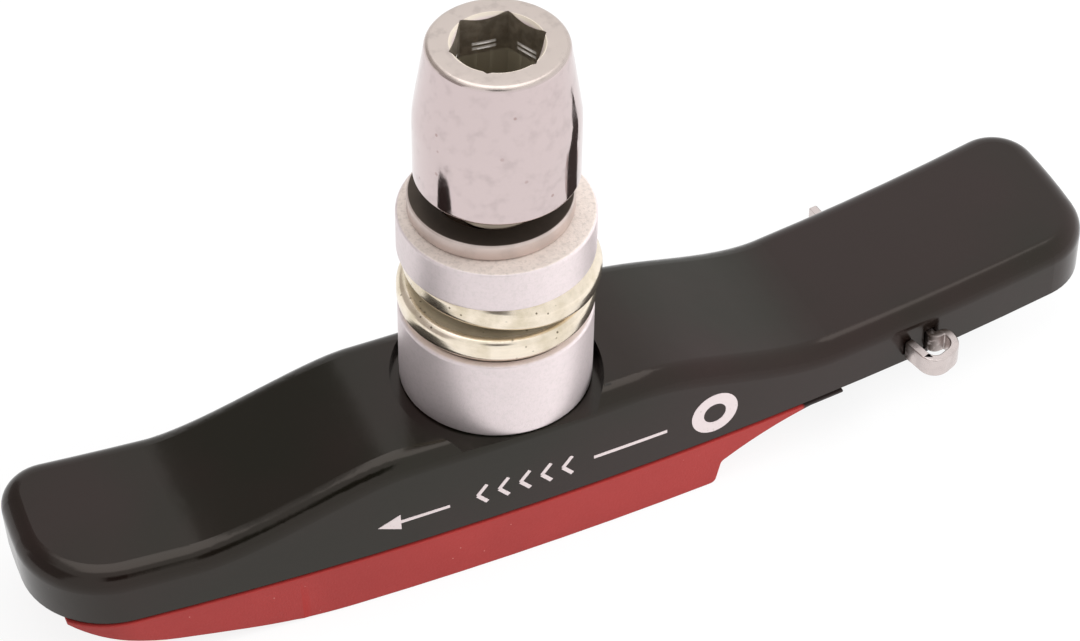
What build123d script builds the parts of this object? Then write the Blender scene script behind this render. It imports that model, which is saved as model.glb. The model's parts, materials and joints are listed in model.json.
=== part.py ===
from build123d import *

import os
from math import cos, radians, sin, sqrt

# Cartridge brake pad for a bicycle rim brake, with its post, washer stack and barrel nut.
# Millimetres. +Z points away from the rim, -X is the leading end, and -Y is the outer, convex
# edge of the curved pad. The origin lies on the friction face, below the middle of the post's seat.

# Plan of the pad, which follows the rim
pad_curve_radius = 255.0
front_length = 31.1
rear_length = 41.9
end_bow = 0.4
outer_half_width = 6.15
inner_half_width_front = 5.4
inner_half_width_middle = 5.25
inner_half_width_rear = 6.4
front_outer_corner = 6.0
front_inner_corner = 2.8
rear_outer_corner = 4.4
rear_inner_corner = 3.0

# Friction block below the carrier
block_depth = 3.85
block_overhang = 0.12
block_front_inset = 1.55
block_tip_depth = 0.28
block_knee_inset = 6.6
block_knee_height = 1.65
block_knee_radius = 12.0
block_ramp_inset = 15.5
block_face_end = 12.35
block_heel_top = (12.8, 1.7)
block_heel_radius = 0.45
block_tail_start = (19.4, 3.68)
block_tail_end = 21.7
block_scoop_sag = 0.28

# Carrier side profile
wing_height = 4.1
hump_height = 7.3
hump_front = -8.0
hump_rear = 7.4
front_slope_run = 13.6
front_slope_ease = 3.6
rear_slope_run = 13.6
rear_slope_ease = 4.0
top_edge_radius = 1.3
bottom_edge_chamfer = 0.15

# Post seat on the hump, leaning back by the toe-in angle
toe_in = 2.5
seat_depth = 0.9
spotface_radius = 6.9
spotface_shift = 0.85

# Channel in the carrier and the tongue that slides in it
channel_offset = -0.3
channel_front_wall = 2.0
channel_run_out = 1.0
lip_thickness = 1.0
mouth_half_width = 3.2
slot_half_width = 4.4
slot_height = 1.7
slide_clearance = 0.12
tongue_rear_inset = 1.9

# Threaded post, pressed in from the channel
post_radius = 3.0
post_fit_clearance = 0.05
post_head_radius = 3.8
post_head_height = 1.3
post_head_recess = 0.3
post_top = 20.3
post_end_chamfer = 0.5

# Ball seated washers, their heights measured up the post from its seat
cup_radius = 6.0
cup_mouth_radius = 5.5
cup_bore_radius = 3.3
cup_edge_chamfer = 0.15
lower_cup_height = 5.85
upper_cup_height = 2.9
ball_radius = 7.5
ball_clearance = 0.04
dome_radius = 6.05
dome_bore_radius = 3.9
dome_rim_height = 1.265
dome_edge_chamfer = 0.3
dome_gap = 0.56
dome_swing = 5.3

# Flat washer, lying loose on the upper cup
flat_washer_radius = 5.0
flat_washer_thickness = 1.15
flat_washer_bore_radius = 3.45
flat_washer_slip = (-0.23, 0.33)
flat_washer_edge_chamfer = 0.15

# Barrel nut, run part of the way down the post
nut_radius = 4.95
nut_rim_radius = 4.15
nut_height = 9.55
nut_straight_height = 4.5
nut_gap = 1.7
nut_rim_chamfer = 0.35
nut_knee_fillet = 9.0
nut_foot_chamfer = 0.3
nut_thread_clearance = 0.05
nut_lead_in = 0.5
socket_width = 5.0
socket_depth = 5.0
socket_mouth_radius = 3.05
socket_mouth_depth = 0.35
socket_heading = -4.5

# Retaining pin of flat strip, bent to an open eye outside the carrier
pin_inset = 13.7
pin_height_in_wall = 1.3
strip_thickness = 0.55
strip_width = 1.4
pin_hole_clearance = 0.12
pin_tail = 1.2
eye_left = 1.65
eye_right = 0.95
eye_reach = 2.6
eye_slant = 0.65
eye_neck = 0.5
eye_left_corner = 0.85
eye_right_corner = 1.1
neck_corner = 0.35

carrier_base = block_depth
wing_top = carrier_base + wing_height
hump_top = carrier_base + hump_height
seat_height = hump_top - seat_depth
slot_floor = carrier_base + lip_thickness
channel_roof = slot_floor + slot_height
channel_front = channel_front_wall - front_length
channel_rear = rear_length + channel_run_out
plan_reach = front_length + rear_length
lean = radians(toe_in)


def section_at(height, swing=0.0):
    """Section plane of a turned piece: origin on the post's axis, Y up the piece's own axis."""
    tilt = lean + radians(swing)
    return Plane(origin=seat_plane.from_local_coords((0, 0, height)), x_dir=(cos(tilt), 0, -sin(tilt)),
                 z_dir=(0, -1, 0))


def rise(x):
    """How far the curved pad has moved towards +Y at this distance from the post."""
    return pad_curve_radius - sqrt(pad_curve_radius**2 - x**2)


def pad_outline(margin=0.0):
    """Curved plan of the pad with four rounded corners, at Z = 0."""
    front = end_bow - front_length - margin
    rear = rear_length - end_bow + margin
    outer = -outer_half_width - margin
    with BuildSketch() as outline:
        with BuildLine():
            outer_front = (front, outer + rise(front))
            outer_rear = (rear, outer + rise(rear))
            inner_front = (front, inner_half_width_front + margin + rise(front))
            inner_rear = (rear, inner_half_width_rear + margin + rise(rear))
            ThreePointArc(outer_front, (0, outer), outer_rear)
            ThreePointArc(outer_rear, (rear + end_bow, rise(rear)), inner_rear)
            ThreePointArc(inner_rear, (0, inner_half_width_middle + margin), inner_front)
            ThreePointArc(inner_front, (front - end_bow, rise(front)), outer_front)
        make_face()
        for corner, radius in ((outer_front, front_outer_corner), (inner_front, front_inner_corner),
                               (outer_rear, rear_outer_corner), (inner_rear, rear_inner_corner)):
            fillet(outline.vertices().sort_by_distance(corner)[0], radius)
    return outline.sketch


def curved_band(half_width, front, rear, height):
    """Band along the pad's curve between two stations, lying at the given height."""
    def on_arc(side, x):
        return (x, channel_offset + side * half_width + rise(x))

    with BuildSketch(Plane.XY.offset(height)) as band:
        with BuildLine():
            ThreePointArc(on_arc(-1, front), on_arc(-1, 0), on_arc(-1, rear))
            Line(on_arc(-1, rear), on_arc(1, rear))
            ThreePointArc(on_arc(1, rear), on_arc(1, 0), on_arc(1, front))
            Line(on_arc(1, front), on_arc(-1, front))
        make_face()
    return band.sketch


def boundary_edges(faces):
    """Edges round the outside of a chain of faces."""
    edges = [edge for face in faces for edge in face.edges()]
    return ShapeList(edge for edge in edges if sum(edge.is_same(other) for other in edges) == 1)


def pin_hole():
    """Section of the slot for the strip's straight leg, square to the pad's curve."""
    with BuildSketch(pin_plane.offset(-strip_width / 2 - pin_hole_clearance)) as slot:
        Rectangle(strip_thickness + 2 * pin_hole_clearance, 6 * outer_half_width)
    return slot.sketch


def on_ball(distance, radius, side):
    """Point on a ball's section at this distance from the axis, above or below its centre."""
    return (distance, side * sqrt(radius**2 - distance**2))


def cup_washer_half(section, height, side):
    """Half section of a flat backed washer, hollowed by the ball on its other face."""
    with BuildSketch(section) as half:
        with BuildLine():
            mouth = on_ball(cup_mouth_radius, ball_radius, side)
            throat = on_ball(cup_bore_radius, ball_radius, side)
            between = on_ball((cup_mouth_radius + cup_bore_radius) / 2, ball_radius, side)
            back = mouth[1] + side * height
            Polyline(throat, (cup_bore_radius, back), (cup_radius, back), (cup_radius, mouth[1]), mouth)
            ThreePointArc(mouth, between, throat)
        make_face()
        chamfer(half.vertices().group_by(Axis.X)[-1], length=cup_edge_chamfer)
    return half.sketch


def dome_washer_half(section, side):
    """Half section of a washer with a flat face towards the brake arm and a ball face behind it."""
    surface = ball_radius - ball_clearance
    with BuildSketch(section) as half:
        with BuildLine():
            shoulder = on_ball(dome_radius, surface, side)
            crown = on_ball(dome_bore_radius, surface, side)
            between = on_ball((dome_radius + dome_bore_radius) / 2, surface, side)
            face = shoulder[1] - side * dome_rim_height
            Polyline(crown, (dome_bore_radius, face), (dome_radius, face), shoulder)
            ThreePointArc(shoulder, between, crown)
        make_face()
        chamfer(half.vertices().group_by(Axis.X)[-1], length=dome_edge_chamfer)
    return half.sketch


# Seat plane of the post, and the pin's plane: X along the pad, Y towards the rim's centre
seat_plane = Plane(origin=(0, 0, seat_height), x_dir=(cos(lean), 0, -sin(lean)), z_dir=(sin(lean), 0, cos(lean)))
pin_station = rear_length - pin_inset
pin_turn = pin_station / pad_curve_radius
pin_plane = Plane(origin=(pin_station, rise(pin_station) - outer_half_width, carrier_base + pin_height_in_wall),
                  x_dir=(cos(pin_turn), sin(pin_turn), 0), z_dir=(0, 0, 1))

# Carrier: curved plan crossed with the humped side profile
with BuildPart() as shoe_carrier:
    extrude(pad_outline(), amount=hump_top + wing_height)
    with BuildSketch(Plane.XZ):
        with BuildLine():
            crown_front = (hump_front, hump_top)
            crown_rear = (hump_rear, hump_top)
            foot_front = (hump_front - front_slope_run, wing_top)
            foot_rear = (hump_rear + rear_slope_run, wing_top)
            Line(crown_front, crown_rear)
            Bezier(crown_rear, (crown_rear[0] + rear_slope_ease, hump_top),
                   (foot_rear[0] - rear_slope_ease, wing_top), foot_rear)
            Polyline(foot_rear, (plan_reach, wing_top), (plan_reach, carrier_base), (-plan_reach, carrier_base),
                     (-plan_reach, wing_top), foot_front)
            Bezier(foot_front, (foot_front[0] + front_slope_ease, wing_top),
                   (crown_front[0] - front_slope_ease, hump_top), crown_front)
        make_face()
    extrude(amount=plan_reach, both=True, mode=Mode.INTERSECT)
    upper_faces = shoe_carrier.faces().filter_by(lambda face: face.normal_at().Z > 0.3)
    fillet(boundary_edges(upper_faces), top_edge_radius)
    chamfer(boundary_edges(shoe_carrier.faces().sort_by(Axis.Z)[:1]), length=bottom_edge_chamfer)
    with BuildSketch(seat_plane):
        with Locations((0, -spotface_shift)):
            Circle(spotface_radius)
    extrude(amount=hump_height, mode=Mode.SUBTRACT)
    with BuildSketch(seat_plane):
        Circle(post_radius + post_fit_clearance)
    extrude(amount=-hump_height, mode=Mode.SUBTRACT)
    with BuildSketch(seat_plane.offset(channel_roof - seat_height + post_head_height + post_head_recess)):
        Circle(post_head_radius + slide_clearance)
    extrude(amount=-hump_height, mode=Mode.SUBTRACT)
    extrude(curved_band(mouth_half_width, channel_front, channel_rear, 0), amount=channel_roof, mode=Mode.SUBTRACT)
    extrude(curved_band(slot_half_width, channel_front, channel_rear, slot_floor), amount=slot_height,
            mode=Mode.SUBTRACT)
    extrude(pin_hole(), amount=strip_width + 2 * pin_hole_clearance, mode=Mode.SUBTRACT)

shoe_carrier.part.label = "shoe_carrier"

# Friction insert: moulded block with a ramped nose and a scooped tail, on a neck and a tongue
with BuildPart() as friction_insert:
    extrude(pad_outline(block_overhang), amount=block_depth)
    with BuildSketch(Plane.XZ) as block_side:
        with BuildLine():
            block_front = block_front_inset - front_length
            block_knee = (block_knee_inset - front_length, block_knee_height)
            block_ramp_end = block_ramp_inset - front_length
            Polyline(block_tail_start, (block_tail_end, block_tail_start[1]), (block_tail_end, block_depth),
                     (block_front, block_depth), (block_front, block_depth - block_tip_depth), block_knee,
                     (block_ramp_end, 0), (block_face_end, 0), block_heel_top)
            SagittaArc(block_heel_top, block_tail_start, block_scoop_sag)
        make_face()
        fillet(block_side.vertices().sort_by_distance(block_knee)[0], block_knee_radius)
        for corner in ((block_face_end, 0), block_heel_top):
            fillet(block_side.vertices().sort_by_distance(corner)[0], block_heel_radius)
    extrude(amount=plan_reach, both=True, mode=Mode.INTERSECT)
    tongue_front = channel_front + slide_clearance
    tongue_rear = rear_length - tongue_rear_inset
    extrude(curved_band(mouth_half_width - slide_clearance, tongue_front, tongue_rear, block_depth),
            amount=lip_thickness + 2 * slide_clearance)
    extrude(curved_band(slot_half_width - slide_clearance, tongue_front, tongue_rear, slot_floor + slide_clearance),
            amount=slot_height - 2 * slide_clearance)
    extrude(pin_hole(), amount=strip_width + 2 * pin_hole_clearance, mode=Mode.SUBTRACT)

friction_insert.part.label = "friction_insert"

# Retaining pin: strip bent in plan, then given its width
with BuildPart() as retaining_pin:
    with BuildSketch(pin_plane.offset(-strip_width / 2)):
        with BuildLine() as strip_path:
            leg_end = outer_half_width + inner_half_width_rear + pin_tail
            FilletPolyline((0, leg_end), (0, -eye_neck), (eye_right, -eye_neck), (eye_right, eye_slant - eye_reach),
                           (0.3 - eye_left, -eye_reach), (-eye_left, -0.05),
                           radius=[neck_corner, neck_corner, eye_right_corner, eye_left_corner])
        trace(strip_path.edges(), line_width=strip_thickness)
    extrude(amount=strip_width)

retaining_pin.part.label = "retaining_pin"

# Threaded post: headed stud, its thread left plain
with BuildPart() as threaded_post:
    with BuildSketch(section_at(0)):
        with BuildLine():
            head_bottom = channel_roof - seat_height + post_head_recess
            head_top = head_bottom + post_head_height
            Polyline((0, head_bottom), (post_head_radius, head_bottom), (post_head_radius, head_top),
                     (post_radius, head_top), (post_radius, post_top - post_end_chamfer),
                     (post_radius - post_end_chamfer, post_top), (0, post_top), close=True)
        make_face()
    revolve(axis=Axis(seat_plane.origin, seat_plane.z_dir))

threaded_post.part.label = "threaded_post"

# Heights up the post of the stack's balls and faces
mouth_drop = sqrt(ball_radius**2 - cup_mouth_radius**2)
lower_ball_height = lower_cup_height + mouth_drop
dome_face_drop = sqrt((ball_radius - ball_clearance)**2 - dome_radius**2) - dome_rim_height
upper_ball_height = lower_ball_height - 2 * dome_face_drop + dome_gap
washer_foot = upper_ball_height + mouth_drop + upper_cup_height
nut_foot = washer_foot + flat_washer_thickness + nut_gap
nut_top = nut_foot + nut_height

lower_ball = section_at(lower_ball_height)
upper_ball = section_at(upper_ball_height)
upper_ball_swung = section_at(upper_ball_height, dome_swing)

# Lower cup washer, tall enough to space the brake arm off the carrier
with BuildPart() as lower_cup_washer:
    revolve(cup_washer_half(lower_ball, lower_cup_height, -1), axis=Axis(lower_ball.origin, lower_ball.y_dir))

lower_cup_washer.part.label = "lower_cup_washer"

# Lower dome washer, seated in the lower cup
with BuildPart() as lower_dome_washer:
    revolve(dome_washer_half(lower_ball, -1), axis=Axis(lower_ball.origin, lower_ball.y_dir))

lower_dome_washer.part.label = "lower_dome_washer"

# Upper dome washer, swung in its cup until it leans on the lower one
with BuildPart() as upper_dome_washer:
    revolve(dome_washer_half(upper_ball_swung, 1), axis=Axis(upper_ball_swung.origin, upper_ball_swung.y_dir))

upper_dome_washer.part.label = "upper_dome_washer"

# Upper cup washer, over the upper dome
with BuildPart() as upper_cup_washer:
    revolve(cup_washer_half(upper_ball, upper_cup_height, 1), axis=Axis(upper_ball.origin, upper_ball.y_dir))

upper_cup_washer.part.label = "upper_cup_washer"

# Flat washer, slipped off centre as far as its bore lets it
with BuildPart() as flat_washer:
    with BuildSketch(seat_plane.offset(washer_foot)) as flat_washer_plan:
        with Locations(flat_washer_slip):
            Circle(flat_washer_radius)
            Circle(flat_washer_bore_radius, mode=Mode.SUBTRACT)
    extrude(amount=flat_washer_thickness)
    chamfer(flat_washer.edges().sort_by(lambda edge: edge.length)[-2:], length=flat_washer_edge_chamfer)

flat_washer.part.label = "flat_washer"

# Barrel nut: tapered crown with a hexagon socket above the threaded bore
with BuildPart() as barrel_nut:
    with BuildSketch(section_at(0)) as nut_half:
        with BuildLine():
            bore = post_radius + nut_thread_clearance
            socket_floor = nut_top - socket_depth
            knee = (nut_radius, nut_foot + nut_straight_height)
            rim = (nut_rim_radius, nut_top)
            Polyline((bore + nut_lead_in, nut_foot), (nut_radius - nut_foot_chamfer, nut_foot),
                     (nut_radius, nut_foot + nut_foot_chamfer), knee, rim, (socket_mouth_radius, nut_top),
                     (socket_width / 2, nut_top - socket_mouth_depth), (socket_width / 2, socket_floor),
                     (bore, socket_floor), (bore, nut_foot + nut_lead_in), close=True)
        make_face()
        fillet(nut_half.vertices().sort_by_distance(knee)[0], nut_knee_fillet)
        chamfer(nut_half.vertices().sort_by_distance(rim)[0], length=nut_rim_chamfer)
    revolve(axis=Axis(seat_plane.origin, seat_plane.z_dir))
    with BuildSketch(seat_plane.offset(socket_floor)):
        RegularPolygon(socket_width / 2, 6, major_radius=False, rotation=socket_heading)
    extrude(amount=socket_depth, mode=Mode.SUBTRACT)

barrel_nut.part.label = "barrel_nut"

os.makedirs("parts", exist_ok=True)
export_step(shoe_carrier.part, "parts/shoe_carrier.step")
export_step(friction_insert.part, "parts/friction_insert.step")
export_step(retaining_pin.part, "parts/retaining_pin.step")
export_step(threaded_post.part, "parts/threaded_post.step")
export_step(lower_cup_washer.part, "parts/lower_cup_washer.step")
export_step(lower_dome_washer.part, "parts/lower_dome_washer.step")
export_step(upper_dome_washer.part, "parts/upper_dome_washer.step")
export_step(upper_cup_washer.part, "parts/upper_cup_washer.step")
export_step(flat_washer.part, "parts/flat_washer.step")
export_step(barrel_nut.part, "parts/barrel_nut.step")
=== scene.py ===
"""Bicycle rim brake pad in a plain studio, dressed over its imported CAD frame."""

import json
import logging
from dataclasses import dataclass
from enum import Enum
from math import acos, cos, hypot, pi, radians, sin, sqrt, tan
from typing import Callable

import bmesh
import bpy
from mathutils import Matrix, Vector

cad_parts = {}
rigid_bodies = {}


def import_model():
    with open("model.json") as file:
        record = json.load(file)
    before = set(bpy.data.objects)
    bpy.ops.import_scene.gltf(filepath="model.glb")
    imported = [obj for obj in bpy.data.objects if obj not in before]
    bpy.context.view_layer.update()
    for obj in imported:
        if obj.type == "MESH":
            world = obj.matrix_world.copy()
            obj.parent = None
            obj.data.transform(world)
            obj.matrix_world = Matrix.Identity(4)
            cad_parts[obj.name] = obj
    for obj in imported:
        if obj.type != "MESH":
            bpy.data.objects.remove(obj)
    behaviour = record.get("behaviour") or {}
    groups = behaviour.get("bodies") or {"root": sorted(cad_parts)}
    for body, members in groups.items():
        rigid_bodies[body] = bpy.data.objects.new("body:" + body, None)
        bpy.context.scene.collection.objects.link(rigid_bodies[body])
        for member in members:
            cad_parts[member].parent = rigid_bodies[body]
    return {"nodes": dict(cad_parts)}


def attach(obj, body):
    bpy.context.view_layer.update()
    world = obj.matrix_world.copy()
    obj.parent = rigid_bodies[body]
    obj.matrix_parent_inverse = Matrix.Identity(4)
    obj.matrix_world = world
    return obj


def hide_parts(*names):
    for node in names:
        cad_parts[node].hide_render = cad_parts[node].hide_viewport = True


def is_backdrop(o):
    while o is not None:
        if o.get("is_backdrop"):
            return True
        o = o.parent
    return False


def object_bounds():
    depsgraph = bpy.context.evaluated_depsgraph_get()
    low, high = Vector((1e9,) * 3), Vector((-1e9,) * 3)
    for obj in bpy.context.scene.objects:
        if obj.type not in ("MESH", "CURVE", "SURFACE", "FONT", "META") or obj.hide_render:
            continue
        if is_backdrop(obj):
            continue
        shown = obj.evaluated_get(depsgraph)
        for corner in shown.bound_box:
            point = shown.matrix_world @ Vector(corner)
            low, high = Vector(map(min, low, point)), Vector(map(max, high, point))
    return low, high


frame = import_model()
cad_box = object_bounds()

Colour = tuple[float, float, float]
Spot = tuple[float, float, float]
Pair = tuple[float, float]
Outline = list[Pair]
Ring = Callable[[float], Pair]

# The pad's sizes are in millimetres. Heights of the washers and the nut are up the post from its seat.
MM = 0.001
LEAN = radians(2.5)
SEAT_HEIGHT = 10.25
BALL_RADIUS = 7.5
WASHER_TOP = 14.459
NUT_FOOT = WASHER_TOP + 1.7
NUT_TOP = NUT_FOOT + 9.55
WHITE = (1.0, 1.0, 1.0, 1.0)
log = logging.getLogger("brake_pad")


def toned(colour: Colour, part: float) -> Colour:
    """Colour multiplied by a number."""
    return tuple(channel * part for channel in colour)


def emptied(block: bpy.types.ID) -> bpy.types.NodeTree:
    """Switch on the nodes of a material or world and clear them.

    Args:
        block: Material or world.

    Returns:
        Its empty node tree.
    """
    block.use_nodes = True
    block.node_tree.nodes.clear()
    return block.node_tree


def linked(name: str, data: bpy.types.ID) -> bpy.types.Object:
    """Put data in the scene as an object.

    Args:
        name: Name of the object.
        data: Its mesh, lamp or camera.

    Returns:
        The new object.
    """
    made = bpy.data.objects.new(name, data)
    bpy.context.scene.collection.objects.link(made)
    return made


class Wire:
    """An output socket on which arithmetic adds Math nodes."""

    def __init__(self, graph: "Graph", socket: bpy.types.NodeSocket) -> None:
        """Keep the socket and the graph it is in."""
        self.graph = graph
        self.socket = socket

    def _math(self, operation: str, first: object, second: object = 0.0) -> "Wire":
        """Add one Math node."""
        return self.graph.node("ShaderNodeMath", {"operation": operation}, {0: first, 1: second})

    def __add__(self, other: object) -> "Wire":
        """Sum with a wire or number."""
        return self._math("ADD", self, other)

    def __radd__(self, other: float) -> "Wire":
        """Sum with a number on the left."""
        return self._math("ADD", other, self)

    def __sub__(self, other: object) -> "Wire":
        """Difference from a wire or number."""
        return self._math("SUBTRACT", self, other)

    def __rsub__(self, other: float) -> "Wire":
        """Number less this wire."""
        return self._math("SUBTRACT", other, self)

    def __mul__(self, other: object) -> "Wire":
        """Product with a wire or number."""
        return self._math("MULTIPLY", self, other)

    def __rmul__(self, other: float) -> "Wire":
        """Product with a number on the left."""
        return self._math("MULTIPLY", other, self)

    def most(self, other: object) -> "Wire":
        """Larger of this wire and another value."""
        return self._math("MAXIMUM", self, other)

    def root(self) -> "Wire":
        """Square root."""
        return self._math("SQRT", self)

    def within(self, low: float, high: float) -> "Wire":
        """Smooth step from 0 at low to 1 at high.

        Args:
            low: Value that gives 0.
            high: Value that gives 1.

        Returns:
            Wire between 0 and 1.
        """
        return self.graph.node("ShaderNodeMapRange", {"interpolation_type": "SMOOTHSTEP"},
                               {"Value": self, "From Min": low, "From Max": high})

    def past(self, low: float, high: float) -> "Wire":
        """Smooth step of a length in metres between two in millimetres."""
        return self.within(low * MM, high * MM)


class Graph:
    """A shader or geometry tree that is filled by short calls."""

    def __init__(self, tree: bpy.types.NodeTree) -> None:
        """Keep the tree."""
        self.tree = tree

    def node(self, kind: str, settings: dict[str, object] | None = None,
             sockets: dict[str | int, object] | None = None, output: str | int = 0) -> Wire:
        """Add a node of any type.

        Args:
            kind: Blender's name of the node type.
            settings: Attributes, set before the sockets.
            sockets: Values, wires or lists of wires by the socket's name or index.
            output: Name or index of the output that is wanted.

        Returns:
            The output as a wire.
        """
        made = self.tree.nodes.new(kind)
        for name, value in (settings or {}).items():
            setattr(made, name, value)
        for key, value in (sockets or {}).items():
            for part in value if isinstance(value, list) else [value]:
                if isinstance(part, Wire):
                    self.tree.links.new(part.socket, made.inputs[key])
                else:
                    made.inputs[key].default_value = part
        return Wire(self, made.outputs[output] if made.outputs else None)

    def blend(self, factor: Wire, low: object, high: object) -> Wire:
        """Mix two colours.

        Args:
            factor: 0 gives low and 1 gives high.
            low: Colour or wire.
            high: Colour or wire.

        Returns:
            The mixed colour.
        """
        ends = [(*end, 1.0) if isinstance(end, tuple) else end for end in (low, high)]
        return self.node("ShaderNodeMix", {"data_type": "RGBA"}, {0: factor, 6: ends[0], 7: ends[1]}, 2)

    def parts(self, vector: Wire) -> list[Wire]:
        """Split a vector into its X, Y and Z wires."""
        first = self.node("ShaderNodeSeparateXYZ", None, {0: vector})
        return [Wire(self, first.socket.node.outputs[i]) for i in range(3)]


@dataclass(frozen=True)
class Noise:
    """Soft noise: its size in millimetres, its octaves, and the levels between which patches fade in."""

    size: float
    detail: float = 2.0
    levels: Pair | None = None


@dataclass(frozen=True)
class Specks:
    """Round specks: their spacing in millimetres, and their radius as a part of it."""

    spacing: float
    radius: float


class Surface(Graph):
    """Tree of a material, whose patterns lie on the object's own coordinates in metres."""

    def __init__(self, tree: bpy.types.NodeTree) -> None:
        """Add the coordinates to the tree."""
        super().__init__(tree)
        self.place = self.node("ShaderNodeTexCoord", output="Object")

    def noise(self, kind: Noise) -> Wire:
        """Add soft noise.

        Args:
            kind: Its size, octaves and levels.

        Returns:
            Wire about 0.5, or from 0 to 1 where the noise has levels.
        """
        soft = self.node("ShaderNodeTexNoise", None,
                         {"Vector": self.place, "Scale": 1 / (kind.size * MM), "Detail": kind.detail})
        return soft.within(*kind.levels) if kind.levels else soft

    def specks(self, kind: Specks) -> Wire:
        """Wire that is 1 in specks scattered at random."""
        cell = self.node("ShaderNodeTexVoronoi", None,
                         {"Vector": self.place, "Scale": 1 / (kind.spacing * MM)}, "Distance")
        return 1 - cell.within(kind.radius * 0.6, kind.radius)

    def bump(self, height: Wire, distance: float, strength: float = 1.0) -> Wire:
        """Normal from a height between 0 and 1.

        Args:
            height: Height wire.
            distance: What a height of 1 stands for, in millimetres.
            strength: Share of the effect.

        Returns:
            Normal wire.
        """
        return self.node("ShaderNodeBump", None,
                         {"Strength": strength, "Distance": distance * MM, "Height": height})

    def about_post(self) -> tuple[Wire, Wire]:
        """Measure from the leaning post.

        Returns:
            Distance from the post's axis and height up it from the seat, in metres.
        """
        local = self.node("ShaderNodeMapping", {"vector_type": "TEXTURE"}, {
            "Vector": self.place, "Location": (0.0, 0.0, SEAT_HEIGHT * MM), "Rotation": (0.0, LEAN, 0.0)})
        across, along, up = self.parts(local)
        return (across * across + along * along).root(), up


@dataclass(frozen=True)
class Finish:
    """A surface finish, whose nodes vary it over the piece."""

    name: str
    colour: Colour
    roughness: float
    metallic: float = 0.0
    gloss_tint: Colour = (1.0, 1.0, 1.0)
    ior: float = 1.5

    def vary(self, surface: Surface) -> dict[str, Wire]:
        """Give the sockets that change over the surface.

        Args:
            surface: Tree of the material.

        Returns:
            Wires by the shader's socket name.
        """
        raise NotImplementedError

    def material(self) -> bpy.types.Material:
        """Build the material, or find it if it is there already.

        Returns:
            The material with this finish's name.
        """
        known = bpy.data.materials.get(self.name)
        if known:
            return known
        made = bpy.data.materials.new(self.name)
        surface = Surface(emptied(made))
        sockets = {"Base Color": (*self.colour, 1.0), "Roughness": self.roughness, "Metallic": self.metallic,
                   "Specular Tint": (*self.gloss_tint, 1.0), "IOR": self.ior}
        sockets.update(self.vary(surface))
        shader = surface.node("ShaderNodeBsdfPrincipled", None, sockets)
        surface.node("ShaderNodeOutputMaterial", None, {"Surface": shader})
        return made


@dataclass(frozen=True)
class GlossBlack(Finish):
    """Gloss black coating with slight orange peel and a few dust specks."""

    warm: Colour = (0.0085, 0.0035, 0.0035)
    warmed: Noise = Noise(14.0, 2.0, (0.35, 0.65))
    cloud: Noise = Noise(9.0, 3.0)
    peel: Noise = Noise(0.9, 1.0)
    grain: Noise = Noise(0.16)
    skin_depth: float = 0.006
    dust: Colour = (0.2, 0.17, 0.14)
    dust_specks: Specks = Specks(2.6, 0.035)
    dusty: Noise = Noise(6.0, 2.0, (0.5, 0.62))

    def vary(self, surface: Surface) -> dict[str, Wire]:
        """Vary the coating's colour, gloss and skin.

        Args:
            surface: Tree of the material.

        Returns:
            Wires by the shader's socket name.
        """
        cloud, peel, grain = (surface.noise(kind) for kind in (self.cloud, self.peel, self.grain))
        dust = surface.specks(self.dust_specks) * surface.noise(self.dusty)
        tone = surface.blend(surface.noise(self.warmed), self.colour, self.warm)
        return {
            "Base Color": surface.blend(dust * 0.8, tone, self.dust),
            "Roughness": self.roughness + cloud * 0.07 + grain * 0.03 + dust * 0.3,
            "Normal": surface.bump(peel * 0.8 + grain * 0.2, self.skin_depth),
        }


@dataclass(frozen=True)
class RedCompound(Finish):
    """Moulded friction compound: matt, finely mottled, with pale filler specks, and painted shade that makes
    its thin tail near black.
    """

    filler: Colour = (0.62, 0.3, 0.26)
    filler_specks: Specks = Specks(1.1, 0.05)
    cloud: Noise = Noise(4.0, 4.0)
    grain: Noise = Noise(0.14, 3.0)
    grain_depth: float = 0.02
    # Painted shade: near-black colour for the thin tail, which begins between the lengths below, in
    # millimetres along the pad.
    shaded_tail_colour: Colour = (0.02, 0.014, 0.013)
    shaded_tail_start: Pair = (18.6, 18.9)

    def vary(self, surface: Surface) -> dict[str, Wire]:
        """Vary the compound's colour and grain.

        Args:
            surface: Tree of the material.

        Returns:
            Wires by the shader's socket name.
        """
        cloud, grain = surface.noise(self.cloud), surface.noise(self.grain)
        clouded = surface.blend(cloud, toned(self.colour, 0.86), toned(self.colour, 1.12))
        grained = surface.blend(grain * 0.35, clouded, toned(self.colour, 0.7))
        filled = surface.blend(surface.specks(self.filler_specks) * 0.5, grained, self.filler)
        # Painted shade on the thin tail, in place of the red compound.
        in_shaded_tail = surface.parts(surface.place)[0].past(*self.shaded_tail_start)
        return {
            "Base Color": surface.blend(in_shaded_tail, filled, self.shaded_tail_colour),
            "Roughness": self.roughness + grain * 0.14 - cloud * 0.06,
            "Normal": surface.bump(grain, self.grain_depth, strength=0.6),
        }


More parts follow.
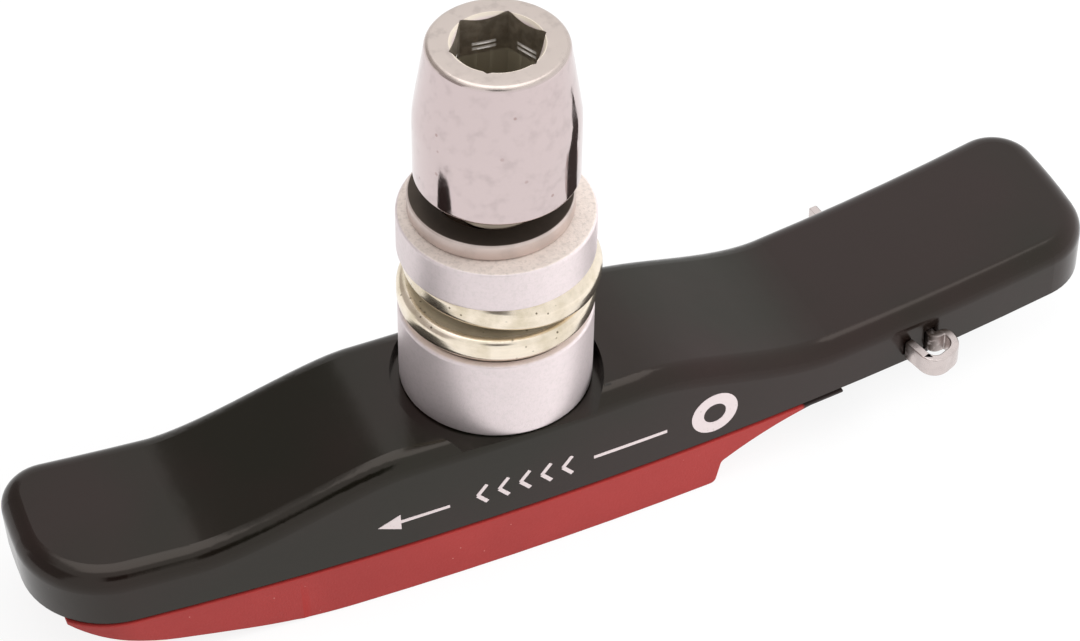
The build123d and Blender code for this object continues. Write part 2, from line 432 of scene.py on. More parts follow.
@dataclass(frozen=True)
class Turned(Finish):
    """Metal turned about the post's axis, with tool lines and a patchy tint; painted shade darkens the dome
    washers' faces inside the rim and the flat washer's top face.
    """

    tint: Colour = (0.5, 0.5, 0.5)
    tint_share: float = 0.3
    tint_levels: Pair = (0.35, 0.7)
    line_pitch: float = 0.12
    line_depth: float = 0.002
    patch: float = 1.6
    grain: Noise = Noise(0.09)
    grain_depth: float = 0.0
    grain_dulling: float = 0.0
    mottle: Noise = Noise(0.2, 3.0, (0.45, 0.7))
    mottle_share: float = 0.0
    speck: Colour = (0.12, 0.09, 0.05)
    specks: Specks = Specks(0.55, 0.16)
    specked: Noise = Noise(1.5, 2.0, (0.45, 0.6))
    speck_share: float = 0.0
    # Painted shade: on the domes, faces nearer the axis than these radii, in millimetres, take a darker,
    # less metallic tint for the shade in the gap between them.
    gap_shade_radii: Pair = (5.1, 5.75)
    gap_shade_share: float = 0.0
    cap_above: float = 99.0
    cap_fade: float = 0.03
    # Colour of the top face above cap_above: the cup passes a warm tone; this near-black default is painted
    # shade and dark reflection under the nut, on the flat washer.
    cap_tone_and_shade: Colour = (0.09, 0.072, 0.058)
    cap_metallic: float = 1.0

    def vary(self, surface: Surface) -> dict[str, Wire]:
        """Vary tint, gloss and tool lines about the post.

        Args:
            surface: Tree of the material.

        Returns:
            Wires by the shader's socket name.
        """
        radius, up = surface.about_post()
        lines = surface.node("ShaderNodeTexNoise", {"noise_dimensions": "1D"},
                             {"W": radius + up, "Scale": 1 / (self.line_pitch * MM), "Detail": 2.0})
        cloud, grain = surface.noise(Noise(self.patch, 3.0)), surface.noise(self.grain)
        share = cloud.within(*self.tint_levels) * self.tint_share + lines * (0.25 * self.tint_share)
        share = share + surface.noise(self.mottle) * self.mottle_share
        # Top face: a warm tone on the cup, painted shade on the flat washer.
        cap_tone_and_shade = up.past(self.cap_above - self.cap_fade, self.cap_above)
        # Painted shade inside the rim, as much as the finish asks for.
        inside = (1 - radius.past(*self.gap_shade_radii)) * self.gap_shade_share
        gap_shade_tone = surface.blend(cloud, self.tint, toned(self.tint, 0.5))
        skin = surface.blend(inside, surface.blend(share, self.colour, self.tint), gap_shade_tone)
        specks = surface.specks(self.specks) * surface.noise(self.specked) * self.speck_share
        top = surface.blend(share, self.cap_tone_and_shade, toned(self.cap_tone_and_shade, 0.8))
        dulling = cloud * 0.08 + lines * 0.05 + grain * self.grain_dulling + cap_tone_and_shade * 0.15
        return {
            "Base Color": surface.blend(cap_tone_and_shade, surface.blend(specks, skin, self.speck), top),
            "Roughness": self.roughness + dulling,
            "Metallic": self.metallic + cap_tone_and_shade * (self.cap_metallic - self.metallic) - inside * 0.9,
            "Normal": surface.bump(lines * self.line_depth + grain * self.grain_depth, distance=1.0),
        }


@dataclass(frozen=True)
class Bright(Finish):
    """Bright metal, polished or plated, with soft waves and faint smudges."""

    wave: float = 2.2
    wave_depth: float = 0.012
    smudged: Noise = Noise(0.9, 4.0, (0.45, 0.75))
    fine: Noise = Noise(0.12)
    fine_depth: float = 0.0006

    def vary(self, surface: Surface) -> dict[str, Wire]:
        """Vary the gloss and the evenness of the plating.

        Args:
            surface: Tree of the material.

        Returns:
            Wires by the shader's socket name.
        """
        wave = surface.noise(Noise(self.wave, 1.0))
        smudge, fine = surface.noise(self.smudged), surface.noise(self.fine)
        return {
            "Base Color": surface.blend(smudge * 0.6, self.colour, toned(self.colour, 0.82)),
            "Roughness": self.roughness + smudge * 0.08 + fine * 0.03,
            "Normal": surface.bump(wave * self.wave_depth + fine * self.fine_depth, distance=1.0),
        }


@dataclass(frozen=True)
class NutPlate(Bright):
    """Bright plate of the nut, warmer on its end face, with an oiled socket, and painted highlights on the
    socket's chamfer and scored rings.
    """

    pit: Colour = (0.34, 0.22, 0.2)
    pits: Specks = Specks(1.1, 0.14)
    pitted: Noise = Noise(2.4, 2.0, (0.42, 0.6))
    face: Colour = (0.605, 0.527, 0.485)
    worn: Noise = Noise(0.7, 3.0, (0.5, 0.72))
    # Painted highlight: a pale ring on the socket's chamfer, lighter than the end face, where it catches
    # light.
    lip: Colour = (0.8, 0.72, 0.62)
    socket: Colour = (0.3, 0.26, 0.21)
    stained: Noise = Noise(0.45, 3.0, (0.3, 0.75))
    deep: Colour = (0.34, 0.3, 0.22)
    # Painted highlight: the socket's scored rings, real grooves in the mesh, are coloured pale and less
    # metallic, as if their ledges catch light.
    score_highlight: Colour = (0.9, 0.86, 0.82)
    mouth_radius: float = 2.75
    socket_depths: Pair = (0.07, 0.04)
    socket_radii: Pair = (2.94, 2.98)
    lip_highlight_depths: Pair = (0.5, 0.4)
    lip_highlight_radii: Pair = (2.76, 2.82)
    face_depths: Pair = (0.3, 0.05)
    deep_depths: Pair = (2.75, 2.55)
    score_depths: Pair = (1.93, 2.27)
    score_radii: Pair = (2.58, 2.62)
    score_edges: Pair = (0.08, 0.12)

    def vary(self, surface: Surface) -> dict[str, Wire]:
        """Tint the end face and the socket too.

        Args:
            surface: Tree of the material.

        Returns:
            Wires by the shader's socket name.
        """
        wires = super().vary(surface)
        pits = surface.specks(self.pits) * surface.noise(self.pitted)
        plate = surface.blend(pits * 0.55, wires["Base Color"], self.pit)
        radius, up = surface.about_post()
        level = up + (self.mouth_radius * MM - radius).most(0.0)
        in_socket = (1 - self.rising(level, self.socket_depths)) * (1 - radius.past(*self.socket_radii))
        # Painted highlight on the socket's chamfer.
        on_lip_highlight = self.rising(up, self.lip_highlight_depths) * (1 - radius.past(*self.lip_highlight_radii))
        on_face = self.rising(up, self.face_depths)
        deep = 1 - self.rising(up, self.deep_depths)
        # Painted highlight on the scored rings.
        score_highlight_mask = 1 - radius.past(*self.score_radii)
        score_highlight_mask = score_highlight_mask * sum(self.band(up, NUT_TOP - depth) for depth in self.score_depths)
        face = surface.blend(surface.noise(self.worn) * 0.6, self.face, toned(self.face, 0.78))
        oiled = surface.blend(surface.noise(self.stained), self.socket, toned(self.socket, 1.5))
        inside = surface.blend(score_highlight_mask, surface.blend(deep, oiled, self.deep), self.score_highlight)
        outside = surface.blend(on_face, plate, surface.blend(on_lip_highlight, face, self.lip))
        wires["Base Color"] = surface.blend(in_socket, outside, inside)
        wires["Roughness"] = wires["Roughness"] + in_socket.most(on_lip_highlight) * 0.3 + on_face * 0.25
        wires["Metallic"] = 1 - in_socket * (deep.most(score_highlight_mask) * 0.6 + 0.2) - on_lip_highlight * (1 - in_socket) * 0.25
        return wires

    def rising(self, up: Wire, depths: Pair) -> Wire:
        """Smooth step of a height between two depths below the nut's top."""
        return up.past(NUT_TOP - depths[0], NUT_TOP - depths[1])

    def band(self, up: Wire, middle: float) -> Wire:
        """Mark a narrow ring at a height up the post.

        Args:
            up: Height up the post in metres.
            middle: Height of the ring in millimetres.

        Returns:
            1 in the ring, fading to 0 at its edges.
        """
        near, far = self.score_edges
        return up.past(middle - far, middle - near) * (1 - up.past(middle + near, middle + far))


@dataclass(frozen=True)
class PinMetal(Bright):
    """Bright strip, with painted shade darkening it in patches where it leaves the carrier's wall."""

    wall: float = -4.75
    # Painted shade: colour, reach off the wall in millimetres, and patches of the darkening next to the
    # carrier's wall.
    wall_shade: Colour = (0.09, 0.07, 0.06)
    wall_shade_reach: Pair = (0.9, 0.2)
    wall_shade_patches: Noise = Noise(0.4, 3.0, (0.2, 0.5))

    def vary(self, surface: Surface) -> dict[str, Wire]:
        """Add the painted shade next to the carrier's wall.

        Args:
            surface: Tree of the material.

        Returns:
            Wires by the shader's socket name.
        """
        wires = super().vary(surface)
        across = surface.parts(surface.place)[1]
        far, close = self.wall_shade_reach
        # Painted shade next to the carrier's wall, in patches, where the strip also turns rougher.
        near = across.past(self.wall - far, self.wall - close) * (1 - across.past(0.0, 1.0))
        near = near * surface.noise(self.wall_shade_patches)
        wires["Base Color"] = surface.blend(near, wires["Base Color"], self.wall_shade)
        wires["Roughness"] = wires["Roughness"] + near * 0.3
        return wires


@dataclass(frozen=True)
class MarkPaint(Finish):
    """Printed off-white marks, slightly worn through."""

    worn: Colour = (0.3, 0.27, 0.26)
    worn_levels: Pair = (0.62, 0.8)
    cover: Noise = Noise(0.22, 3.0)
    cover_depth: float = 0.01

    def vary(self, surface: Surface) -> dict[str, Wire]:
        """Vary how well the print covers.

        Args:
            surface: Tree of the material.

        Returns:
            Wires by the shader's socket name.
        """
        cover = surface.noise(self.cover)
        return {
            "Base Color": surface.blend(cover.within(*self.worn_levels), self.colour, self.worn),
            "Roughness": self.roughness + cover * 0.15,
            "Normal": surface.bump(cover, self.cover_depth, strength=0.5),
        }


class Finishes(Enum):
    """The finishes of this pad."""

    CARRIER = GlossBlack("carrier_gloss_black", (0.0025, 0.0035, 0.0015), roughness=0.12,
                         gloss_tint=(1.0, 0.88, 0.8), ior=1.45)
    INSERT = RedCompound("insert_red_compound", (0.325, 0.028, 0.025), roughness=0.5, ior=1.38)
    CUP = Turned("cup_satin_silver", (0.785, 0.69, 0.7), roughness=0.29, metallic=0.68,
                 tint=(0.72, 0.64, 0.64), tint_share=0.35, line_pitch=0.1, line_depth=0.0012, patch=0.5,
                 grain_depth=0.018, grain_dulling=0.08, mottle_share=0.7, cap_above=13.3,
                 cap_tone_and_shade=(0.77, 0.678, 0.622), cap_metallic=0.35)
    DOME = Turned("dome_yellow_zinc", (0.95, 0.845, 0.71), roughness=0.15, metallic=1.0,
                  tint=(0.56, 0.475, 0.32), tint_share=0.5, line_pitch=0.16, line_depth=0.0012,
                  speck_share=0.8, gap_shade_share=0.7)
    # Painted shade: the flat washer keeps the near-black top colour, for the shade and dark reflection on
    # its top face under the nut.
    WASHER = Turned("washer_stamped_steel", (0.66, 0.56, 0.52), roughness=0.34, metallic=0.85,
                    tint=(0.48, 0.41, 0.38), tint_share=0.5, line_pitch=0.3, line_depth=0.001,
                    grain_depth=0.003, grain_dulling=0.08, cap_above=14.45, cap_metallic=0.85)
    NUT = NutPlate("nut_bright_plate", (0.645, 0.54, 0.537), roughness=0.05, metallic=1.0)
    POST = Bright("post_plated_steel", (0.3, 0.25, 0.2), roughness=0.28, metallic=1.0, wave=0.8)
    PIN = PinMetal("pin_bright_steel", (0.665, 0.588, 0.568), roughness=0.22, metallic=1.0, wave=0.9,
                   wave_depth=0.01)
    MARK = MarkPaint("mark_off_white", (0.6, 0.52, 0.52), roughness=0.36)

    def material(self) -> bpy.types.Material:
        """Material of this finish."""
        return self.value.material()


def post_place(height: float, swing: float = 0.0) -> Matrix:
    """Place of a turned piece on the leaning post.

    Args:
        height: Height of its origin up the post from the seat, in millimetres.
        swing: Extra tilt about the pad's width, in degrees.

    Returns:
        Matrix from the piece's millimetres to the frame's metres.
    """
    origin = Vector((sin(LEAN) * height, 0.0, SEAT_HEIGHT + cos(LEAN) * height)) * MM
    turn = Matrix.Rotation(LEAN + radians(swing), 4, "Y")
    return Matrix.Translation(origin) @ turn @ Matrix.Scale(MM, 4)


def rounded(corners: list[tuple[float, float, float]], steps: int = 5) -> Outline:
    """Closed outline with rounded corners.

    Args:
        corners: Distance from the axis, height and corner radius.
        steps: Parts of each corner's arc.

    Returns:
        Points of the outline.
    """
    points: Outline = []
    for index, (x, y, radius) in enumerate(corners):
        if radius <= 0:
            points.append((x, y))
            continue
        corner = Vector((x, y))
        before = (Vector(corners[index - 1][:2]) - corner).normalized()
        after = (Vector(corners[(index + 1) % len(corners)][:2]) - corner).normalized()
        half = acos(max(-1.0, min(1.0, before.dot(after)))) / 2
        centre = corner + (before + after).normalized() * (radius / sin(half))
        start = corner + before * (radius / tan(half)) - centre
        sweep = (pi - 2 * half) * (1 if before.cross(after) < 0 else -1)
        for step in range(steps + 1):
            angle = sweep * step / steps
            points.append((centre.x + start.x * cos(angle) - start.y * sin(angle),
                           centre.y + start.x * sin(angle) + start.y * cos(angle)))
    return points


def ball_arc(radius: float, first: float, last: float, side: int) -> list[tuple[float, float, float]]:
    """Points on a ball's section, as corners without a radius.

    Args:
        radius: Radius of the ball.
        first: Distance from the axis where it starts.
        last: Distance from the axis where it ends.
        side: 1 above the ball's middle, -1 below it.

    Returns:
        Corners for rounded().
    """
    steps = 10
    reach = [first + (last - first) * step / steps for step in range(steps + 1)]
    return [(x, side * sqrt(radius**2 - x**2), 0.0) for x in reach]


def circles(outline: Outline) -> list[Ring]:
    """Plain rings through an outline's points, which stay just off the axis."""
    return [lambda angle, point=point: (max(point[0], 1e-4), point[1]) for point in outline]


def lofted(name: str, rings: list[Ring], segments: int) -> bpy.types.Mesh:
    """Skin a closed chain of rings about the Z axis.

    Args:
        name: Name of the mesh.
        rings: Functions from an angle to the distance from the axis and the height.
        segments: Points of each ring.

    Returns:
        Mesh in millimetres.
    """
    points, faces = [], []
    for ring in rings:
        for step in range(segments):
            angle = 2 * pi * step / segments
            reach, height = ring(angle)
            points.append((reach * cos(angle), reach * sin(angle), height))
    for row in range(len(rings)):
        below, above = row * segments, (row + 1) % len(rings) * segments
        for step in range(segments):
            beside = (step + 1) % segments
            faces.append((below + step, below + beside, above + beside, above + step))
    mesh = bpy.data.meshes.new(name)
    mesh.from_pydata(points, [], faces)
    return mesh


def reshape(mesh: bpy.types.Mesh, change: Callable[[bmesh.types.BMesh], None]) -> None:
    """Change a mesh through bmesh.

    Args:
        mesh: Mesh that is changed.
        change: What is done to it.
    """
    body = bmesh.new()
    body.from_mesh(mesh)
    change(body)
    body.to_mesh(mesh)
    body.free()


def join_doubles(body: bmesh.types.BMesh, distance: float) -> None:
    """Merge the points that lie within a distance of each other."""
    bmesh.ops.remove_doubles(body, verts=body.verts, dist=distance)


def close_outward(body: bmesh.types.BMesh) -> None:
    """Join a mesh's doubles, in metres, and turn its faces outwards."""
    join_doubles(body, distance=1e-7)
    bmesh.ops.recalc_face_normals(body, faces=body.faces)


def cut_across(body: bmesh.types.BMesh, places: list[float]) -> None:
    """Cut a mesh with planes across the pad's length.

    Args:
        body: Mesh that is cut.
        places: X of each plane, in the mesh's own unit.
    """
    for place in places:
        everything = body.verts[:] + body.edges[:] + body.faces[:]
        bmesh.ops.bisect_plane(body, geom=everything, plane_co=(place, 0, 0), plane_no=(1, 0, 0))


def smooth(piece: bpy.types.Object, angle: float) -> None:
    """Shade a piece smooth with sharp edges kept.

    Args:
        piece: Object whose mesh is shaded.
        angle: Edges sharper than this stay sharp, in degrees.
    """
    mesh = piece.data
    mesh.polygons.foreach_set("use_smooth", [True] * len(mesh.polygons))
    mesh.set_sharp_from_angle(angle=radians(angle))
    weighted = piece.modifiers.new("weighted_normals", "WEIGHTED_NORMAL")
    weighted.keep_sharp = True
    weighted.weight = 60


def roll_edges(piece: bpy.types.Object, width: float, angle: float) -> None:
    """Round a piece's edges, before its normals are weighted.

    Args:
        piece: Object whose edges are rounded.
        width: Width of the rounding, in millimetres.
        angle: Edges sharper than this are rounded, in degrees.
    """
    edge = piece.modifiers.new("rolled_edges", "BEVEL")
    edge.width = width * MM
    edge.segments = 2
    edge.limit_method = "ANGLE"
    edge.angle_limit = radians(angle)
    piece.modifiers.move(piece.modifiers.find("rolled_edges"), 0)


class Tree(Graph):
    """A geometry tree with named inputs, run once on an object."""

    def __init__(self, name: str, sizes: dict[str, float | int], finish: Finishes) -> None:
        """Make the tree and its inputs.

        Args:
            name: Name of the tree.
            sizes: Named sizes; whole numbers become integer inputs.
            finish: Finish given to the result.
        """
        super().__init__(bpy.data.node_groups.new(name, "GeometryNodeTree"))
        self.values = {**sizes, "Material": finish.material()}
        kinds = {int: "NodeSocketInt", float: "NodeSocketFloat"}
        interface = self.tree.interface
        for side in ("INPUT", "OUTPUT"):
            interface.new_socket("Geometry", in_out=side, socket_type="NodeSocketGeometry")
        self.ids = {}
        for key, value in self.values.items():
            kind = kinds.get(type(value), "NodeSocketMaterial")
            self.ids[key] = interface.new_socket(key, in_out="INPUT", socket_type=kind).identifier
        self.entry = self.tree.nodes.new("NodeGroupInput")

    def given(self, name: str) -> Wire:
        """Wire of a named input."""
        return Wire(self, self.entry.outputs[name])

    def vector(self, x: object = 0.0, y: object = 0.0, z: object = 0.0) -> Wire:
        """Vector of three wires or numbers."""
        return self.node("ShaderNodeCombineXYZ", None, {"X": x, "Y": y, "Z": z})

    def joined(self, pieces: list[Wire]) -> Wire:
        """Several geometries as one."""
        return self.node("GeometryNodeJoinGeometry", None, {0: pieces})

    def circle(self, radius: Wire, corners: int | Wire) -> Wire:
        """Circle about the Z axis."""
        return self.node("GeometryNodeCurvePrimitiveCircle", {"mode": "RADIUS"},
                         {"Resolution": corners, "Radius": radius})

    def swept(self, path: Wire, section: Wire, caps: bool = False) -> Wire:
        """Sweep a section along a path, with its Y axis kept upright.

        Args:
            path: Curve that it follows.
            section: Curve that is swept.
            caps: Whether the ends are closed.

        Returns:
            The swept mesh.
        """
        upright = self.node("GeometryNodeSetCurveNormal", {"mode": "Z_UP"}, {"Curve": path})
        return self.node("GeometryNodeCurveToMesh", None,
                         {"Curve": upright, "Profile Curve": section, "Fill Caps": caps})

    def run(self, result: Wire, piece: bpy.types.Object) -> None:
        """Finish the tree, run it and keep its result as a plain mesh.

        Args:
            result: Geometry that the tree makes.
            piece: Object that takes the result as its mesh.
        """
        real = self.node("GeometryNodeRealizeInstances", None, {"Geometry": result})
        dressed = self.node("GeometryNodeSetMaterial", None,
                            {"Geometry": real, "Material": self.given("Material")})
        self.node("NodeGroupOutput", None, {0: dressed})
        modifier = piece.modifiers.new("build", "NODES")
        modifier.node_group = self.tree
        for name, value in self.values.items():
            modifier[self.ids[name]] = value
        graph = bpy.context.evaluated_depsgraph_get()
        mesh = bpy.data.meshes.new_from_object(piece.evaluated_get(graph), depsgraph=graph)
        piece.modifiers.remove(modifier)
        piece.data = mesh


@dataclass(frozen=True)
class Piece:
    """A piece of the pad: its name, material slot and finish, and the CAD node that it stands for."""

    name: str
    slot: str
    finish: Finishes
    node: str = ""

    def declare(self, made: bpy.types.Object) -> bpy.types.Object:
        """Attach the piece to the root body and hide the CAD node that it stands for.

        Args:
            made: Object with the piece's mesh, and its place in that mesh.

        Returns:
            The same object.
        """
        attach(made, "root")
        if self.node:
            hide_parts(self.node)
        return made

    def from_mesh(self, mesh: bpy.types.Mesh) -> bpy.types.Object:
        """Make the piece of a finished mesh.

        Args:
            mesh: Mesh with its place in it.

        Returns:
            The new object.
        """
        mesh.materials.clear()
        mesh.materials.append(self.finish.material())
        return self.declare(linked(self.name, mesh))

    def from_cad(self) -> bpy.types.Object:
        """Make the piece of a copy of its CAD node, with the loose triangles joined.

        Returns:
            The new object, shaded by the normals of the solid's own surfaces.
        """
        mesh = frame["nodes"][self.node].data.copy()
        mesh.name = self.name
        kept = mesh.attributes.new("solid_normal", "FLOAT_VECTOR", "CORNER")
        kept.data.foreach_set("vector", [part for corner in mesh.corner_normals for part in corner.vector])
        reshape(mesh, lambda body: join_doubles(body, distance=1e-6))
        kept = mesh.attributes["solid_normal"]
        mesh.normals_split_custom_set([corner.vector for corner in kept.data])
        mesh.attributes.remove(kept)
        return self.from_mesh(mesh)

    def turned(self, outline: Outline, place: Matrix) -> bpy.types.Object:
        """Make the piece by sweeping a closed outline round the post's axis with Geometry Nodes.

        Args:
            outline: Distance from the axis and height of each point, in millimetres.
            place: Place of the piece.

        Returns:
            The new object.
        """
        count = len(outline)
        guide = sum(across for across, _ in outline) / count
        mesh = bpy.data.meshes.new(self.name)
        mesh.from_pydata([(across - guide, up, 0.0) for across, up in outline],
                         [(index, (index + 1) % count) for index in range(count)], [])
        made = linked(self.name, mesh)
        tree = Tree(f"turn_{self.name}", {"Guide Radius": guide, "Segments": 128}, self.finish)
        section = tree.node("GeometryNodeMeshToCurve", None, {"Mesh": tree.given("Geometry")})
        path = tree.circle(tree.given("Guide Radius"), tree.given("Segments"))
        tree.run(tree.swept(path, section), made)
        # The sweep can lay the section upside down.
        top = max(vertex.co.z for vertex in made.data.vertices)
        if abs(top - max(up for _, up in outline)) > 1e-3:
            made.data.transform(Matrix.Scale(-1.0, 4, (0.0, 0.0, 1.0)))
        made.data.transform(place)
        reshape(made.data, close_outward)
        self.declare(made)
        smooth(made, angle=40.0)
        return made


@dataclass
class Marks:
    """Printed marks on the carrier's outer wall: an arrow, a row of chevrons, a line and a ring."""

    wall_radius: float = 255.0
    wall_middle: float = 248.85
    stand_off: float = 0.012
    thickness: float = 0.03
    arrow_head: tuple[Pair, ...] = ((-10.38, 6.17), (-8.9, 6.82), (-8.9, 5.53))
    arrow_shaft: tuple[Pair, ...] = ((-8.9, 6.3), (-5.72, 6.34), (-5.72, 6.12), (-8.9, 6.06))
    line: tuple[Pair, ...] = ((3.89, 6.45), (8.93, 6.44), (8.93, 6.2), (3.89, 6.21))
    ring_middle: Pair = (12.29, 6.36)
    ring_radii: Pair = (0.78, 1.62)
    ring_quads: int = 40
    strip_width: float = 0.35
    strip_range: tuple[int, int] = (-31, 43)
    chevrons: int = 5
    chevron_first: float = -3.9
    chevron_pitch: float = 1.42
    chevron_height: float = 6.35
    stroke_length: float = 0.98
    stroke_width: float = 0.26
    stroke_angle: float = 50.0

    def ring(self) -> list[Outline]:
        """Flat ring, as quads.

        Returns:
            Outlines of the quads.
        """
        count = self.ring_quads
        turns = [2 * pi * index / count for index in range(count + 1)]
        inner, outer = ([(self.ring_middle[0] + radius * cos(turn), self.ring_middle[1] + radius * sin(turn))
                         for turn in turns] for radius in self.ring_radii)
        return [[inner[i], outer[i], outer[i + 1], inner[i + 1]] for i in range(count)]

    def draw(self, body: bmesh.types.BMesh) -> None:
        """Draw all but the chevrons flat in the XZ plane, in narrow strips so that they can bend.

        Args:
            body: Empty mesh that takes the marks, in millimetres.
        """
        for outline in [self.arrow_head, self.arrow_shaft, self.line, *self.ring()]:
            body.faces.new([body.verts.new((x, 0.0, z)) for x, z in outline])
        join_doubles(body, distance=1e-4)
        cut_across(body, [index * self.strip_width for index in range(*self.strip_range)])

    def chevron_row(self, tree: Tree) -> Wire:
        """Lay out the row of chevrons in a tree.

        Args:
            tree: Tree with the row's sizes as inputs.

        Returns:
            The row as plain geometry.
        """
        length = tree.given("Stroke Length")
        stroke = tree.node("GeometryNodeMeshGrid", None, {
            "Size X": length, "Size Y": tree.given("Stroke Width"), "Vertices X": 4, "Vertices Y": 2})
        hinged = tree.node("GeometryNodeTransform", None,
                           {"Geometry": stroke, "Translation": tree.vector(length * 0.5)})
        strokes = []
        for side in (1.0, -1.0):
            turn = tree.vector(pi / 2, tree.given("Angle") * side)
            strokes.append(tree.node("GeometryNodeTransform", None, {"Geometry": hinged, "Rotation": turn}))
        row = tree.node("GeometryNodeMeshLine", None, {
            "Count": tree.given("Count"), "Offset": tree.vector(tree.given("Pitch")),
            "Start Location": tree.vector(tree.given("First"), 0.0, tree.given("Height"))})
        copies = tree.node("GeometryNodeInstanceOnPoints", None,
                           {"Points": row, "Instance": tree.joined(strokes)})
        return tree.node("GeometryNodeRealizeInstances", None, {"Geometry": copies})

    def build(self) -> bpy.types.Object:
        """Add the row of chevrons, bend all marks on the wall and give them thickness.

        Returns:
            The marks as one object.
        """
        piece = Piece("carrier_marks", "carrier_black", Finishes.MARK)
        flat = bpy.data.meshes.new("marks")
        reshape(flat, self.draw)
        made = linked(piece.name, flat)
        tree = Tree("printed_marks", {
            "Count": self.chevrons, "First": self.chevron_first, "Pitch": self.chevron_pitch,
            "Height": self.chevron_height, "Stroke Length": self.stroke_length,
            "Stroke Width": self.stroke_width, "Angle": radians(self.stroke_angle),
            "Wall Radius": self.wall_radius, "Wall Middle": self.wall_middle,
            "Stand Off": self.stand_off}, piece.finish)
        marks = tree.joined([self.chevron_row(tree), tree.given("Geometry")])
        along, _, up = tree.parts(tree.node("GeometryNodeInputPosition"))
        wall = tree.given("Wall Radius")
        depth = tree.given("Wall Middle") - tree.given("Stand Off") - (wall * wall - along * along).root()
        bent = tree.node("GeometryNodeSetPosition", None,
                         {"Geometry": marks, "Position": tree.vector(along, depth, up)})
        tree.run(bent, made)
        for polygon in made.data.polygons:
            if polygon.normal.y > 0:
                polygon.flip()
        made.data.transform(Matrix.Scale(MM, 4))
        piece.declare(made)
        plate = made.modifiers.new("thickness", "SOLIDIFY")
        plate.thickness = self.thickness * MM
        plate.offset = 0.0
        return made


@dataclass
class Carrier:
    """Gloss black carrier with its printed marks."""

    spot_radius: float = 6.9
    spot_shift: float = 0.85
    spot_trim: float = 0.75
    spot_above: float = 9.0
    spot_tolerance: float = 0.06

    def trim_spotface(self, mesh: bpy.types.Mesh) -> None:
        """Bring the spotface's wall nearer to the cup washer on the trailing side.

        Args:
            mesh: Mesh of the carrier, in metres.
        """
        for vertex in mesh.vertices:
            along, across, up = vertex.co / MM
            off_wall = abs(hypot(along, across + self.spot_shift) - self.spot_radius)
            if off_wall < self.spot_tolerance and along > 0 and up > self.spot_above:
                vertex.co.x -= self.spot_trim * (along / self.spot_radius)**2 * MM

    def build(self) -> list[bpy.types.Object]:
        """Dress the carrier and print its marks.

        Returns:
            The carrier and its marks.
        """
        made = Piece("carrier_body", "carrier_black", Finishes.CARRIER, "shoe_carrier").from_cad()
        self.trim_spotface(made.data)
        return [made, Marks().build()]


@dataclass
class FrictionInsert:
    """Red friction insert with softened moulded edges."""

    edge_width: float = 0.1
    edge_angle: float = 40.0
    facet_angle: float = 0.6
    face_tolerance: float = 0.01
    ramp_end: float = -15.6
    ramp_slope: float = 0.1854
    ease_reach: float = 3.2
    ease_steps: int = 6

    def ease_ramp(self, body: bmesh.types.BMesh) -> None:
        """Join flat facets, then round the crease where the ramp meets the friction face.

        Args:
            body: Mesh of the insert, in metres.
        """
        bmesh.ops.dissolve_limit(body, angle_limit=radians(self.facet_angle), verts=body.verts,
                                 edges=body.edges)
        steps = range(-self.ease_steps, self.ease_steps + 1)
        cut_across(body, [(self.ramp_end + self.ease_reach * step / self.ease_steps) * MM for step in steps])
        for vertex in body.verts:
            along = vertex.co.x / MM - self.ramp_end
            underside = max(0.0, -along) * self.ramp_slope
            on_face = abs(vertex.co.z / MM - underside) < self.face_tolerance
            if on_face and abs(along) < self.ease_reach:
                vertex.co.z = self.ramp_slope * (self.ease_reach - along)**2 / (4 * self.ease_reach) * MM

    def build(self) -> list[bpy.types.Object]:
        """Dress the insert.

        Returns:
            The insert alone, in a list.
        """
        made = Piece("insert_block", "insert_red", Finishes.INSERT, "friction_insert").from_cad()
        reshape(made.data, self.ease_ramp)
        smooth(made, angle=32.0)
        roll_edges(made, self.edge_width, self.edge_angle)
        return [made]


@dataclass
class RetainingPin:
    """Strip pin whose eye stands out of the carrier's side."""

    edge_width: float = 0.07
    edge_angle: float = 50.0

    def build(self) -> list[bpy.types.Object]:
        """Dress the pin.

        Returns:
            The pin alone, in a list.
        """
        made = Piece("pin_strip", "pin_steel", Finishes.PIN, "retaining_pin").from_cad()
        smooth(made, angle=32.0)
        roll_edges(made, self.edge_width, self.edge_angle)
        return [made]


